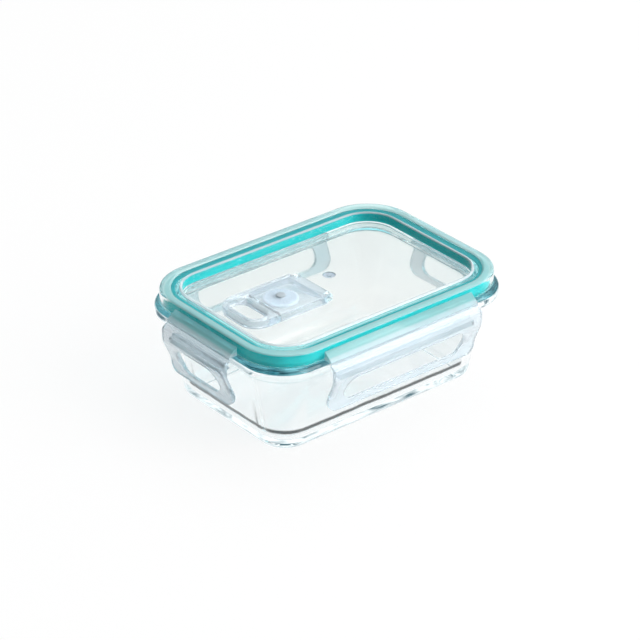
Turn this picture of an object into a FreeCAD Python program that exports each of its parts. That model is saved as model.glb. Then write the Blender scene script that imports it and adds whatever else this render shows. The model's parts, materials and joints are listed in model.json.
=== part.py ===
import FreeCAD, Part
import math
import os
import re
import Sketcher
from FreeCAD import Placement, Rotation, Vector

# Bento lunch box: glass container, snap-lock lid with seal, four latches on living hinges, vent flap.
# Millimetres. X runs along the length, Y along the width, Z up from the table; the origin is the
# middle of the foot. The front is the long side at -Y, the left the short side at -X.

SIZES = (
    ("lid_length", 140, "outer edge to outer edge, without the latches"),
    ("lid_width", 100, "outer edge to outer edge, without the latches"),
    ("lid_corner", 23.5, "corner radius in plan"),
    ("lid_gap", 0.4, "lid skirt above the glass rim"),
    ("lid_height", 6.6, "skirt to ridge"),
    ("lid_edge_round", 1.2, "rounding of the outer top edge"),
    ("border_width", 3, "outer bead of the lid's top"),
    ("trough_depth", 0.8, "channel between the two beads"),
    ("bead_width", 2, "inner bead of the lid's top"),
    ("recess_inset", 10.1, "lid edge to the recess wall"),
    ("recess_depth", 5, "ridge to panel"),
    ("recess_round", 0.8, "rounding of the inner bead"),
    ("skirt_wall", 2, "wall outside the seal"),
    ("groove_width", 5.3, "channel that holds the seal"),
    ("groove_depth", 4, "channel above the skirt's lower edge"),
    ("rib_wall", 1.6, "locating rib inside the glass mouth"),
    ("rib_reach", 2.8, "locating rib below the skirt"),
    ("gate_diameter", 6.4, "moulding mark on the panel"),
    ("gate_depth", 0.4, "moulding mark on the panel"),
    ("gate_nub", 2.2, "stub in the moulding mark"),
    ("gate_x", 6.8, "moulding mark from the middle"),
    ("gate_y", 7.2, "moulding mark from the middle"),
    ("glass_height", 48, "foot to rim"),
    ("rim_height", 6.5, "underside to top of the glass rim"),
    ("rim_overhang", 1, "glass rim beyond the lid"),
    ("rim_corner", 21, "corner radius in plan"),
    ("rim_setback", 4.7, "nose of the rim to the wall below"),
    ("rim_top_round", 2.6, "upper outer edge of the rim"),
    ("rim_under_round", 2.2, "lower outer edge of the rim"),
    ("neck_round", 1.5, "hollow between rim and wall"),
    ("mouth_round", 1, "inner edge of the rim"),
    ("mouth_clearance", 0.9, "locating rib to glass, at the rim"),
    ("wall_run", 7, "how far the wall draws in from rim to foot"),
    ("foot_corner", 13, "corner radius in plan"),
    ("foot_round", 4.5, "rounding from wall to foot"),
    ("floor_thickness", 3.8, "glass under the food space"),
    ("floor_inset", 3.6, "wall at the floor"),
    ("floor_corner", 9.2, "corner radius in plan"),
    ("floor_round", 6, "rounding from floor to wall"),
    ("punt_inset", 9, "width of the foot ring"),
    ("punt_depth", 0.8, "hollow inside the foot ring"),
    ("seal_clearance", 0.1, "seal to groove walls"),
    ("seal_body", 2.8, "height of the seal above its lips"),
    ("lip_width", 1.3, "each sealing lip"),
    ("lip_inset", 0.5, "lips in from the sides of the seal"),
    ("latch_long", 86, "latch on a long side"),
    ("latch_short", 45, "latch on a short side"),
    ("latch_reach", 7.5, "lid edge to the latch's outer face"),
    ("latch_wall", 1.8, "wall of the latch's band"),
    ("latch_clearance", 0.2, "latch to the nose of the glass rim, unsnapped"),
    ("latch_corner", 5, "lower corners of the latch"),
    ("land_reach", 4.6, "lid edge to the outer face of the hinge film"),
    ("land_drop", 1.4, "ridge to the top of the hinge land"),
    ("land_lip", 0.5, "upright lip of the hinge land over the film"),
    ("film_thickness", 0.4, "living hinge"),
    ("film_length", 0.8, "living hinge between land and latch"),
    ("film_seat", 0.6, "top edge of the latch that takes the film"),
    ("shoulder_drop", 1.6, "latch top to the crease"),
    ("crease_run", 0.5, "bevel from shoulder to band, outward"),
    ("crease_drop", 0.8, "bevel from shoulder to band, down"),
    ("crease_round", 1, "rounding of the bevel's edges"),
    ("band_height", 6, "upright band of the latch"),
    ("lean_drop", 10.7, "frame leaning in under the band"),
    ("lean_round", 3, "rounding above and below the leaning frame"),
    ("tail_height", 6, "upright lower part of the frame"),
    ("tail_wall", 1.55, "wall of the lower frame"),
    ("hook_drop", 0.2, "hook's upper edge below the rim's underside"),
    ("hook_tip", 0.7, "height of the hook's tip"),
    ("hook_slope", 1, "rise of the hook towards the band"),
    ("hook_inset", 4, "end of the latch to end of the hook"),
    ("leg_width", 8, "latch frame beside the window"),
    ("bar_height", 3, "latch frame under the window"),
    ("window_corner", 6, "corner radius of the finger window"),
    ("window_drop", 0.6, "band above the window"),
    ("flap_length", 47.2, "loop end to hinge end"),
    ("flap_width", 27.4, "side to side"),
    ("flap_height", 3.8, "skirt to top"),
    ("flap_gap", 0.2, "skirt above the panel"),
    ("loop_margin", 5.6, "recess wall to the loop end"),
    ("flap_wall", 1.3, "side walls"),
    ("flap_plate", 1.2, "top plate"),
    ("loop_length", 16, "loop end to the box under the plate"),
    ("loop_rim", 3, "frame around the finger loop"),
    ("loop_bar", 2.5, "crossbar between loop and box"),
    ("loop_corner", 8.5, "outer corners of the loop"),
    ("loop_hole_corner", 4.5, "corners of the finger hole"),
    ("knuckle_length", 4.1, "solid hinge end of the flap"),
    ("ear_thickness", 1.8, "each ear on the lid"),
    ("ear_radius", 1.7, "round top of an ear"),
    ("ear_gap", 0.2, "ear to flap, each side"),
    ("ear_root", 0.3, "ear let into the panel"),
    ("pin_diameter", 1.6, "trunnion"),
    ("pin_clearance", 0.05, "trunnion in its ear, all round"),
    ("vent_distance", 18.4, "hinge to the middle of the vent"),
    ("vent_hole", 6.6, "hole in the panel"),
    ("boss_diameter", 12, "raised seat round the vent hole"),
    ("boss_height", 1.2, "raised seat above the panel"),
    ("disc_diameter", 16.5, "plug flange under the flap's plate"),
    ("bung_diameter", 6.2, "plug at the flange"),
    ("bung_tip", 5.2, "plug at its end"),
    ("bung_reach", 3.4, "plug below its flange"),
    ("neck_diameter", 3, "plug through the flap's plate"),
    ("neck_clearance", 0.05, "plug in the flap's hole, all round"),
    ("head_diameter", 4.6, "button above the flap's plate"),
    ("head_height", 0.8, "button above the flap's plate"),
)

# Heights and places that several pieces share.
SKIRT = "(glass_height + lid_gap)"
RIDGE = "(glass_height + lid_gap + lid_height)"
PANEL = "(glass_height + lid_gap + lid_height - recess_depth)"
RIM_UNDER = "(glass_height - rim_height)"
GROOVE_INNER = "(skirt_wall + groove_width)"
FOOD_RUN = "(rim_setback + wall_run + floor_inset - rim_overhang - skirt_wall - groove_width + mouth_clearance)"
LATCH_TOP = "(glass_height + lid_gap - film_length)"
CREASE = "(glass_height + lid_gap - film_length - shoulder_drop)"
BAND_TOP = "(glass_height + lid_gap - film_length - shoulder_drop - crease_drop)"
BAND_FOOT = "(glass_height + lid_gap - film_length - shoulder_drop - crease_drop - band_height)"
TAIL_TOP = BAND_FOOT[:-1] + " - lean_drop)"
TAIL_FOOT = TAIL_TOP[:-1] + " - tail_height)"
TAIL_REACH = "(rim_overhang + latch_clearance)"
FLAP_TOP = PANEL[:-1] + " + flap_gap + flap_height)"
LOOP_END = "(recess_inset + loop_margin - lid_length / 2)"
BOX_END = LOOP_END[:-1] + " + loop_length)"
FLAP_END = LOOP_END[:-1] + " + flap_length)"
HINGE_X = FLAP_END[:-1] + " - flap_height / 2)"
HINGE_Z = PANEL[:-1] + " + flap_gap + flap_height / 2)"
VENT_X = HINGE_X[:-1] + " - vent_distance)"
EAR_OUTER = "(flap_width / 2 - flap_wall - ear_gap)"

doc = FreeCAD.newDocument("bento_lunch_box")

sheet = doc.addObject("Spreadsheet::Sheet", "Sizes")
for row, (alias, value, meaning) in enumerate(SIZES, start=1):
    sheet.set(f"A{row}", alias)
    sheet.set(f"B{row}", str(value))
    sheet.set(f"C{row}", meaning)
    sheet.setAlias(f"B{row}", alias)
doc.recompute()


def bound(text):
    """The expression for a formula written with the plain names of the sizes."""
    return re.sub(r"[a-z][a-z_]*", lambda word: "Sizes." + word.group(), text)


def number(text):
    """The present value of a formula written with the plain names of the sizes."""
    return float(sheet.evalExpression(bound(text)))


def new_body(name):
    body = doc.addObject("PartDesign::Body", name)
    body.Label = name
    return body


def origin_plane(body, role):
    return next(item for item in body.Origin.OriginFeatures if item.Role == role)


def new_sketch(body, name, role, lift=None):
    """A sketch on an origin plane of the body, raised along the plane's normal by a formula."""
    sketch = body.newObject("Sketcher::SketchObject", name)
    sketch.AttachmentSupport = [(origin_plane(body, role), "")]
    sketch.MapMode = "FlatFace"
    if lift:
        sketch.setExpression("AttachmentOffset.Base.z", bound(lift))
    return sketch


def dimension(sketch, kind, references, text):
    """A dimension of a sketch, driven by a formula."""
    index = sketch.addConstraint(Sketcher.Constraint(kind, *references, number(text)))
    sketch.setExpression(f"Constraints[{index}]", bound(text))


def pin_point(sketch, geometry, position, x, y):
    """Hold a point of a sketch at two formulas."""
    dimension(sketch, "DistanceX", (-1, 1, geometry, position), x)
    dimension(sketch, "DistanceY", (-1, 1, geometry, position), y)


def polygon(sketch, points):
    """A closed outline through points given as pairs of formulas."""
    places = [Vector(number(x), number(y), 0) for x, y in points]
    first = sketch.GeometryCount
    count = len(points)
    for index in range(count):
        sketch.addGeometry(Part.LineSegment(places[index], places[(index + 1) % count]))
    for index in range(count):
        following = first + (index + 1) % count
        sketch.addConstraint(Sketcher.Constraint("Coincident", first + index, 2, following, 1))
    for index, (x, y) in enumerate(points):
        pin_point(sketch, first + index, 1, x, y)


def circle(sketch, x, y, diameter):
    centre = Vector(number(x), number(y), 0)
    index = sketch.addGeometry(Part.Circle(centre, Vector(0, 0, 1), number(diameter) / 2))
    dimension(sketch, "Diameter", (index,), diameter)
    pin_point(sketch, index, 3, x, y)


def rounded_rectangle(sketch, length, width, radius, x="0", y="0"):
    """A rectangle with four equal rounded corners about a middle point, all as formulas."""
    middle = Vector(number(x), number(y), 0)
    half_x, half_y, r = number(length) / 2, number(width) / 2, number(radius)
    cx, cy = half_x - r, half_y - r
    first = sketch.GeometryCount

    def line(ax, ay, bx, by):
        sketch.addGeometry(Part.LineSegment(middle + Vector(ax, ay, 0), middle + Vector(bx, by, 0)))

    def corner(ax, ay, start):
        ring = Part.Circle(middle + Vector(ax, ay, 0), Vector(0, 0, 1), r)
        sketch.addGeometry(Part.ArcOfCircle(ring, math.radians(start), math.radians(start + 90)))

    line(-cx, -half_y, cx, -half_y)
    corner(cx, -cy, 270)
    line(half_x, -cy, half_x, cy)
    corner(cx, cy, 0)
    line(cx, half_y, -cx, half_y)
    corner(-cx, cy, 90)
    line(-half_x, cy, -half_x, -cy)
    corner(-cx, -cy, 180)
    for index in range(8):
        following = first + (index + 1) % 8
        sketch.addConstraint(Sketcher.Constraint("Tangent", first + index, 2, following, 1))
    for index, kind in ((0, "Horizontal"), (2, "Vertical"), (4, "Horizontal"), (6, "Vertical")):
        sketch.addConstraint(Sketcher.Constraint(kind, first + index))
    for index in (3, 5, 7):
        sketch.addConstraint(Sketcher.Constraint("Equal", first + 1, first + index))
    dimension(sketch, "Radius", (first + 1,), radius)
    dimension(sketch, "DistanceX", (first + 7, 3, first + 1, 3), f"({length}) - 2 * ({radius})")
    dimension(sketch, "DistanceY", (first + 1, 3, first + 3, 3), f"({width}) - 2 * ({radius})")
    pin_point(sketch, first + 7, 3, f"({x}) - ({length}) / 2 + ({radius})",
              f"({y}) - ({width}) / 2 + ({radius})")


def lid_outline(sketch, inset):
    """The lid's outline in plan, drawn in by a formula."""
    rounded_rectangle(sketch, f"lid_length - 2 * ({inset})", f"lid_width - 2 * ({inset})",
                      f"lid_corner - ({inset})")


def extrude(body, kind, name, profile, length=None, symmetric=False, turned=False):
    """A pad or pocket of a sketch; without a length it goes through everything."""
    feature = body.newObject(f"PartDesign::{kind}", name)
    feature.Profile = profile
    feature.SideType = "Symmetric" if symmetric else "One side"
    feature.Reversed = turned
    if length:
        feature.setExpression("Length", bound(length))
    else:
        feature.Type = "ThroughAll"
    doc.recompute()
    return feature


def level_loops(body, height):
    """The closed outlines of the level faces at a height, longest first."""
    level = number(height)
    faces = [face for face in body.Tip.Shape.Faces
             if abs(face.BoundBox.ZMin - level) < 1e-4 and abs(face.BoundBox.ZMax - level) < 1e-4]
    return sorted((wire for face in faces for wire in face.Wires), key=lambda wire: -wire.Length)


def fillet(body, name, radius, wanted):
    """Round the edges of the body that the test accepts."""
    base = body.Tip
    names = [f"Edge{index}" for index, edge in enumerate(base.Shape.Edges, start=1) if wanted(edge)]
    feature = body.newObject("PartDesign::Fillet", name)
    feature.Base = (base, names)
    feature.setExpression("Radius", bound(radius))
    doc.recompute()
    return feature


def fillet_loop(body, name, radius, height, order):
    """Round one outline of the level faces at a height, counted from the longest."""
    loop = level_loops(body, height)[order]
    return fillet(body, name, radius, lambda edge: any(edge.isSame(part) for part in loop.Edges))


def draft(body, name, level, run, height, wanted, turned=False):
    """Lean the upright faces that the test accepts about a level, by a run over a height."""
    plane = body.newObject("PartDesign::Plane", f"{name}_level")
    plane.AttachmentSupport = [(origin_plane(body, "XY_Plane"), "")]
    plane.MapMode = "FlatFace"
    plane.setExpression("AttachmentOffset.Base.z", bound(level))
    base = body.Tip
    names = [f"Face{index}" for index, face in enumerate(base.Shape.Faces, start=1) if wanted(face)]
    feature = body.newObject("PartDesign::Draft", name)
    feature.Base = (base, names)
    feature.NeutralPlane = (plane, [""])
    feature.Reversed = turned
    feature.setExpression("Angle", f"atan(({bound(run)}) / ({bound(height)}))")
    doc.recompute()
    return feature


def is_upright(face):
    return abs(face.normalAt(*face.Surface.parameter(face.CenterOfMass)).z) < 1e-6


def build_glass_container():
    body = new_body("glass_container")
    rim = "lid_length + 2 * rim_overhang", "lid_width + 2 * rim_overhang"
    foot = [f"{size} - 2 * (rim_setback + wall_run)" for size in rim]

    foot_outline = new_sketch(body, "foot_outline", "XY_Plane")
    rounded_rectangle(foot_outline, *foot, "foot_corner")
    extrude(body, "Pad", "wall", foot_outline, RIM_UNDER)
    draft(body, "wall_draft", "0", "wall_run", RIM_UNDER, is_upright, turned=True)

    rim_outline = new_sketch(body, "rim_outline", "XY_Plane", RIM_UNDER)
    rounded_rectangle(rim_outline, *rim, "rim_corner")
    extrude(body, "Pad", "rim", rim_outline, "rim_height")

    floor_outline = new_sketch(body, "floor_outline", "XY_Plane", "floor_thickness")
    rounded_rectangle(floor_outline, *(f"{size} - 2 * floor_inset" for size in foot), "floor_corner")
    food_height = "glass_height - floor_thickness"
    extrude(body, "Pocket", "food_space", floor_outline, food_height, turned=True)
    draft(body, "food_space_draft", "floor_thickness", FOOD_RUN, food_height,
          lambda face: is_upright(face) and face.BoundBox.ZMax - face.BoundBox.ZMin > number(RIM_UNDER))

    punt_outline = new_sketch(body, "punt_outline", "XY_Plane")
    rounded_rectangle(punt_outline, *(f"{size} - 2 * punt_inset" for size in foot),
                      "foot_corner - punt_inset")
    extrude(body, "Pocket", "punt", punt_outline, "punt_depth", turned=True)

    fillet_loop(body, "floor_rounding", "floor_round", "floor_thickness", 0)
    fillet_loop(body, "foot_rounding", "foot_round", "0", 0)
    fillet_loop(body, "neck_rounding", "neck_round", RIM_UNDER, 1)
    fillet_loop(body, "rim_under_rounding", "rim_under_round", RIM_UNDER, 0)
    fillet_loop(body, "mouth_rounding", "mouth_round", "glass_height", 1)
    fillet_loop(body, "rim_top_rounding", "rim_top_round", "glass_height", 0)
    return body


def build_lid():
    body = new_body("lid")
    plate_outline = new_sketch(body, "plate_outline", "XY_Plane", SKIRT)
    lid_outline(plate_outline, "0")
    extrude(body, "Pad", "plate", plate_outline, "lid_height")

    recess_outline = new_sketch(body, "recess_outline", "XY_Plane", RIDGE)
    lid_outline(recess_outline, "recess_inset")
    extrude(body, "Pocket", "recess", recess_outline, "recess_depth")

    trough_outline = new_sketch(body, "trough_outline", "XY_Plane", RIDGE)
    lid_outline(trough_outline, "border_width")
    lid_outline(trough_outline, "recess_inset - bead_width")
    extrude(body, "Pocket", "trough", trough_outline, "trough_depth")

    groove_outline = new_sketch(body, "groove_outline", "XY_Plane", SKIRT)
    lid_outline(groove_outline, "skirt_wall")
    lid_outline(groove_outline, GROOVE_INNER)
    extrude(body, "Pocket", "seal_groove", groove_outline, "groove_depth", turned=True)

    rib_outline = new_sketch(body, "rib_outline", "XY_Plane", SKIRT)
    lid_outline(rib_outline, GROOVE_INNER)
    lid_outline(rib_outline, f"{GROOVE_INNER} + rib_wall")
    extrude(body, "Pad", "locating_rib", rib_outline, "rib_reach", turned=True)

    fillet_loop(body, "ridge_rounding", "lid_edge_round", RIDGE, 0)
    fillet_loop(body, "recess_rounding", "recess_round", RIDGE, 3)
    add_hinge_lands(body)
    add_vent_seat(body)

    gate_outline = new_sketch(body, "gate_outline", "XY_Plane", PANEL)
    circle(gate_outline, "gate_x", "gate_y", "gate_diameter")
    circle(gate_outline, "gate_x", "gate_y", "gate_nub")
    extrude(body, "Pocket", "gate_mark", gate_outline, "gate_depth")
    return body


def add_hinge_lands(body):
    """The sloping lands on the four sides of the lid that carry the hinge films."""
    sides = (("long", "YZ_Plane", "lid_width / 2", "latch_long"),
             ("short", "XZ_Plane", "lid_length / 2", "latch_short"))
    for side, role, edge, width in sides:
        section = new_sketch(body, f"{side}_land_section", role)
        for sign in ("-", ""):
            polygon(section, (
                (f"{sign}({edge} - skirt_wall / 2)", f"{RIDGE} - land_drop"),
                (f"{sign}({edge})", f"{RIDGE} - land_drop"),
                (f"{sign}({edge} + land_reach)", f"{SKIRT} + land_lip"),
                (f"{sign}({edge} + land_reach)", SKIRT),
                (f"{sign}({edge} - skirt_wall / 2)", SKIRT)))
        extrude(body, "Pad", f"{side}_lands", section, width, symmetric=True)


def add_vent_seat(body):
    """The seat round the vent hole and the two ears for the trunnions of the vent flap."""
    boss_outline = new_sketch(body, "boss_outline", "XY_Plane", PANEL)
    circle(boss_outline, VENT_X, "0", "boss_diameter")
    extrude(body, "Pad", "vent_boss", boss_outline, "boss_height")
    hole_outline = new_sketch(body, "hole_outline", "XY_Plane", f"{PANEL} + boss_height")
    circle(hole_outline, VENT_X, "0", "vent_hole")
    extrude(body, "Pocket", "vent_hole", hole_outline)

    post_section = new_sketch(body, "post_section", "XZ_Plane")
    polygon(post_section, (
        (f"{HINGE_X} - ear_radius", f"{PANEL} - ear_root"),
        (f"{HINGE_X} + ear_radius", f"{PANEL} - ear_root"),
        (f"{HINGE_X} + ear_radius", HINGE_Z),
        (f"{HINGE_X} - ear_radius", HINGE_Z)))
    extrude(body, "Pad", "posts", post_section, f"2 * {EAR_OUTER}", symmetric=True)
    top_section = new_sketch(body, "ear_top_section", "XZ_Plane")
    circle(top_section, HINGE_X, HINGE_Z, "2 * ear_radius")
    extrude(body, "Pad", "ear_tops", top_section, f"2 * {EAR_OUTER}", symmetric=True)
    gap_section = new_sketch(body, "ear_gap_section", "XZ_Plane")
    polygon(gap_section, (
        (f"{HINGE_X} - 2 * ear_radius", PANEL),
        (f"{HINGE_X} + 2 * ear_radius", PANEL),
        (f"{HINGE_X} + 2 * ear_radius", RIDGE),
        (f"{HINGE_X} - 2 * ear_radius", RIDGE)))
    extrude(body, "Pocket", "ear_gap", gap_section, f"2 * ({EAR_OUTER} - ear_thickness)", symmetric=True)
    bore_section = new_sketch(body, "ear_bore_section", "XZ_Plane")
    circle(bore_section, HINGE_X, HINGE_Z, "pin_diameter + 2 * pin_clearance")
    extrude(body, "Pocket", "ear_bores", bore_section, "2 * flap_width", symmetric=True)


def build_lid_seal():
    body = new_body("lid_seal")
    outer = "(skirt_wall + seal_clearance)"
    inner = f"({GROOVE_INNER} - seal_clearance)"
    body_outline = new_sketch(body, "seal_outline", "XY_Plane", f"{SKIRT} + groove_depth")
    lid_outline(body_outline, outer)
    lid_outline(body_outline, inner)
    extrude(body, "Pad", "seal_body", body_outline, "seal_body", turned=True)

    lip_top = f"{SKIRT} + groove_depth - seal_body"
    for name, first in (("outer", f"{outer} + lip_inset"), ("inner", f"{inner} - lip_inset - lip_width")):
        lip_outline = new_sketch(body, f"{name}_lip_outline", "XY_Plane", lip_top)
        lid_outline(lip_outline, first)
        lid_outline(lip_outline, f"{first} + lip_width")
        extrude(body, "Pad", f"{name}_lip", lip_outline, "lid_gap + groove_depth - seal_body", turned=True)
    return body


def round_outer_edges(body, name, radius, places):
    """Round the lengthwise edges of a latch that lie at pairs of formulas for Y and Z."""
    targets = [(number(y), number(z)) for y, z in places]

    def at_target(edge):
        box = edge.BoundBox
        return box.XLength > 1 and any(
            abs(box.Center.y - y) + abs(box.Center.z - z) < 1e-3 for y, z in targets)

    fillet(body, name, radius, at_target)


def build_latch(name, width, edge_axis, edge, turn):
    """A latch, drawn at the front with the lid's edge at Y = 0, then turned to its side of the lid."""
    body = new_body(name)
    section = new_sketch(body, "latch_section", "YZ_Plane")
    inner = "-(latch_reach - latch_wall)"
    tail = f"-{TAIL_REACH}"
    polygon(section, (
        ("-(land_reach - film_seat)", LATCH_TOP),
        ("-land_reach", LATCH_TOP),
        ("-(latch_reach - crease_run)", CREASE),
        ("-latch_reach", BAND_TOP),
        ("-latch_reach", BAND_FOOT),
        (f"{tail} - tail_wall", TAIL_TOP),
        (f"{tail} - tail_wall", TAIL_FOOT),
        (tail, TAIL_FOOT),
        (tail, TAIL_TOP),
        (inner, BAND_FOOT),
        (inner, BAND_TOP),
        ("-(land_reach - film_seat)", f"{LATCH_TOP} - latch_wall / 2")))
    extrude(body, "Pad", "latch_strip", section, width, symmetric=True)

    round_outer_edges(body, "crease_rounding", "crease_round",
                      (("-(latch_reach - crease_run)", CREASE), ("-latch_reach", BAND_TOP)))
    round_outer_edges(body, "lean_rounding", "lean_round",
                      (("-latch_reach", BAND_FOOT), (f"{tail} - tail_wall", TAIL_TOP)))

    hook_section = new_sketch(body, "hook_section", "YZ_Plane")
    hook_top, root = f"{RIM_UNDER} - hook_drop", "-(latch_reach - latch_wall / 2)"
    polygon(hook_section, (
        (root, f"{hook_top} - hook_tip - hook_slope"),
        (inner, f"{hook_top} - hook_tip - hook_slope"),
        (tail, f"{hook_top} - hook_tip"),
        (tail, hook_top),
        (inner, f"{hook_top} + hook_slope"),
        (root, f"{hook_top} + hook_slope")))
    extrude(body, "Pad", "hook", hook_section, f"{width} - 2 * hook_inset", symmetric=True)

    window = new_sketch(body, "window_outline", "XZ_Plane")
    sill, head = f"({TAIL_FOOT} + bar_height)", f"({BAND_FOOT} - window_drop)"
    rounded_rectangle(window, f"{width} - 2 * leg_width", f"{head} - {sill}", "window_corner",
                      y=f"({head} + {sill}) / 2")
    extrude(body, "Pocket", "finger_window", window, "4 * latch_reach", symmetric=True)

    half, foot = number(width) / 2, number(TAIL_FOOT)

    def at_lower_corner(found):
        box = found.BoundBox
        return (abs(abs(box.Center.x) - half) < 1e-4 and abs(box.Center.z - foot) < 1e-4
                and box.ZLength < 1e-4)

    fillet(body, "lower_corners", "latch_corner", at_lower_corner)
    body.Placement = Placement(Vector(), Rotation(Vector(0, 0, 1), turn))
    body.setExpression(f"Placement.Base.{edge_axis}", bound(edge))
    return body


def build_hinge_film(name, width, corner, turn):
    """A strip of living hinge between a land of the lid and the top of a latch."""
    film = doc.addObject("Part::Box", name)
    film.Label = name
    film.setExpression("Length", bound(width))
    film.setExpression("Width", bound("film_thickness"))
    film.setExpression("Height", bound("film_length"))
    film.Placement = Placement(Vector(), Rotation(Vector(0, 0, 1), turn))
    for axis, text in zip("xyz", (*corner, LATCH_TOP)):
        film.setExpression(f"Placement.Base.{axis}", bound(text))
    return film


def build_vent_flap():
    body = new_body("vent_flap")
    foot = f"({PANEL} + flap_gap)"
    side = new_sketch(body, "flap_side", "XZ_Plane")
    polygon(side, ((LOOP_END, foot), (HINGE_X, foot), (HINGE_X, FLAP_TOP), (LOOP_END, FLAP_TOP)))
    extrude(body, "Pad", "flap_block", side, "flap_width", symmetric=True)
    barrel = new_sketch(body, "flap_barrel", "XZ_Plane")
    circle(barrel, HINGE_X, HINGE_Z, "flap_height")
    extrude(body, "Pad", "hinge_barrel", barrel, "flap_width", symmetric=True)

    start, half = number(LOOP_END), number("flap_width") / 2

    def at_loop_corner(edge):
        middle = edge.BoundBox.Center
        return abs(middle.x - start) < 1e-4 and abs(abs(middle.y) - half) < 1e-4

    fillet(body, "loop_corners", "loop_corner", at_loop_corner)

    loop_outline = new_sketch(body, "loop_outline", "XY_Plane", FLAP_TOP)
    loop_hole = "(loop_length - loop_rim - loop_bar)"
    rounded_rectangle(loop_outline, loop_hole, "flap_width - 2 * loop_rim", "loop_hole_corner",
                      x=f"{LOOP_END} + loop_rim + {loop_hole} / 2")
    extrude(body, "Pocket", "finger_loop", loop_outline)

    knuckle = f"({FLAP_END} - knuckle_length)"
    inner = "(flap_width / 2 - flap_wall)"
    box_outline = new_sketch(body, "box_outline", "XY_Plane", foot)
    polygon(box_outline, ((BOX_END, f"-{inner}"), (knuckle, f"-{inner}"), (knuckle, inner), (BOX_END, inner)))
    extrude(body, "Pocket", "box", box_outline, "flap_height - flap_plate", turned=True)

    near, far = f"({EAR_OUTER} - ear_thickness - ear_gap)", f"({EAR_OUTER} + ear_gap)"
    notch_outline = new_sketch(body, "notch_outline", "XY_Plane", FLAP_TOP)
    for sign in ("-", ""):
        polygon(notch_outline, ((knuckle, sign + near), (f"{FLAP_END} + flap_height", sign + near),
                                (f"{FLAP_END} + flap_height", sign + far), (knuckle, sign + far)))
    extrude(body, "Pocket", "ear_notches", notch_outline)

    pin_section = new_sketch(body, "pin_section", "XZ_Plane")
    circle(pin_section, HINGE_X, HINGE_Z, "pin_diameter")
    extrude(body, "Pad", "trunnions", pin_section, "flap_width - flap_wall", symmetric=True)

    button_outline = new_sketch(body, "button_outline", "XY_Plane", FLAP_TOP)
    circle(button_outline, VENT_X, "0", "neck_diameter + 2 * neck_clearance")
    extrude(body, "Pocket", "button_hole", button_outline)
    return body


def build_vent_plug():
    """The plug, turned about its own axis and then set over the vent hole."""
    body = new_body("vent_plug")
    seat, under_plate = f"({PANEL} + boss_height)", f"({FLAP_TOP} - flap_plate)"
    section = new_sketch(body, "plug_section", "XZ_Plane")
    polygon(section, (
        ("0", f"{seat} - bung_reach"),
        ("bung_tip / 2", f"{seat} - bung_reach"),
        ("bung_diameter / 2", seat),
        ("disc_diameter / 2", seat),
        ("disc_diameter / 2", under_plate),
        ("neck_diameter / 2", under_plate),
        ("neck_diameter / 2", FLAP_TOP),
        ("head_diameter / 2", FLAP_TOP),
        ("head_diameter / 2 - head_height / 2", f"{FLAP_TOP} + head_height"),
        ("0", f"{FLAP_TOP} + head_height")))
    turned = body.newObject("PartDesign::Revolution", "turned_plug")
    turned.Profile = section
    turned.ReferenceAxis = (section, ["V_Axis"])
    turned.Angle = 360
    body.setExpression("Placement.Base.x", bound(VENT_X))
    doc.recompute()
    return body


def write_pieces(pieces):
    """Check every object of the document, then write one file per piece."""
    doc.recompute()
    for item in doc.Objects:
        if "Invalid" in item.State or "Error" in item.State:
            raise RuntimeError(f"{item.Name} is not built: {item.State}")
    os.makedirs("parts", exist_ok=True)
    for piece in pieces:
        shape = piece.Shape
        if shape.isNull() or not shape.isValid() or len(shape.Solids) != 1:
            raise RuntimeError(f"{piece.Label} is not one sound solid")
        shape.exportStep(f"parts/{piece.Label}.step")


film_y = "lid_width / 2 + land_reach"
film_x = "lid_length / 2 + land_reach"

write_pieces((
    build_glass_container(),
    build_lid(),
    build_lid_seal(),
    build_latch("latch_front", "latch_long", "y", "-lid_width / 2", 0),
    build_latch("latch_back", "latch_long", "y", "lid_width / 2", 180),
    build_latch("latch_left", "latch_short", "x", "-lid_length / 2", -90),
    build_latch("latch_right", "latch_short", "x", "lid_length / 2", 90),
    build_hinge_film("hinge_film_front", "latch_long", ("-latch_long / 2", f"-({film_y})"), 0),
    build_hinge_film("hinge_film_back", "latch_long", ("latch_long / 2", film_y), 180),
    build_hinge_film("hinge_film_left", "latch_short", (f"-({film_x})", "latch_short / 2"), -90),
    build_hinge_film("hinge_film_right", "latch_short", (film_x, "-latch_short / 2"), 90),
    build_vent_flap(),
    build_vent_plug(),
))
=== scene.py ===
"""Looks of a glass lunch box with a clear four-latch lid, dressed over its packed frame.

Lengths are in metres, and tables of rows are in millimetres. Every piece is made in the frame
of the packed model: X runs along the long sides, Z is up, and the front latch hangs on the
low-Y side.
"""

import json
import logging
import math
from dataclasses import dataclass, replace
from enum import Enum, IntEnum
from typing import Callable, Sequence

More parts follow.
